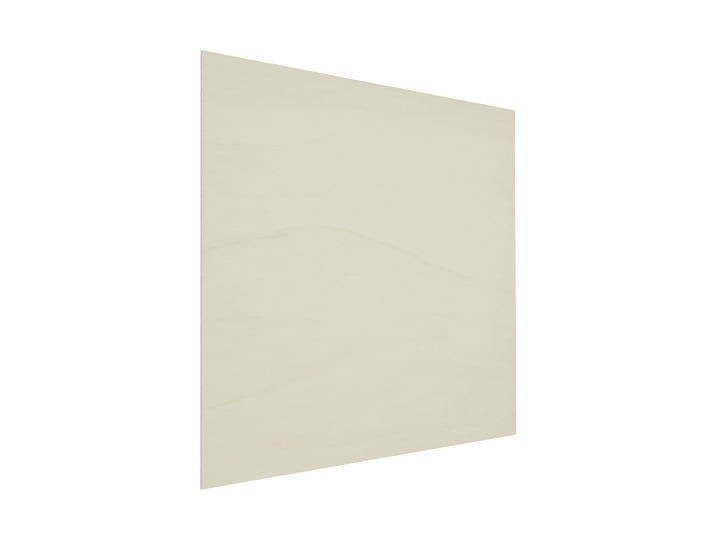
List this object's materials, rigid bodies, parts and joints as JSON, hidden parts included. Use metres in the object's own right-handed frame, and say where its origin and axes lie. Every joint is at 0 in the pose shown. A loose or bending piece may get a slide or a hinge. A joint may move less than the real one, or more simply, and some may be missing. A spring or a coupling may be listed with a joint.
{
  "type": "plywood sheet",
  "caption": "Thin square sheet of pale three-ply wood with sawn edges, lying flat, its face grain along X.",
  "frame": {"origin": "centre of the back face, which the sheet lies on", "axes": "+Z out of the face, +X along the grain of the outer veneers, +Y across that grain"},
  "size_m": [0.6, 0.6, 0.003],
  "materials": {
    "pale_veneer": "satin"
  },
  "bodies": {
    "root": {"plywood_sheet": "pale_veneer"}
  },
  "joints": []
}
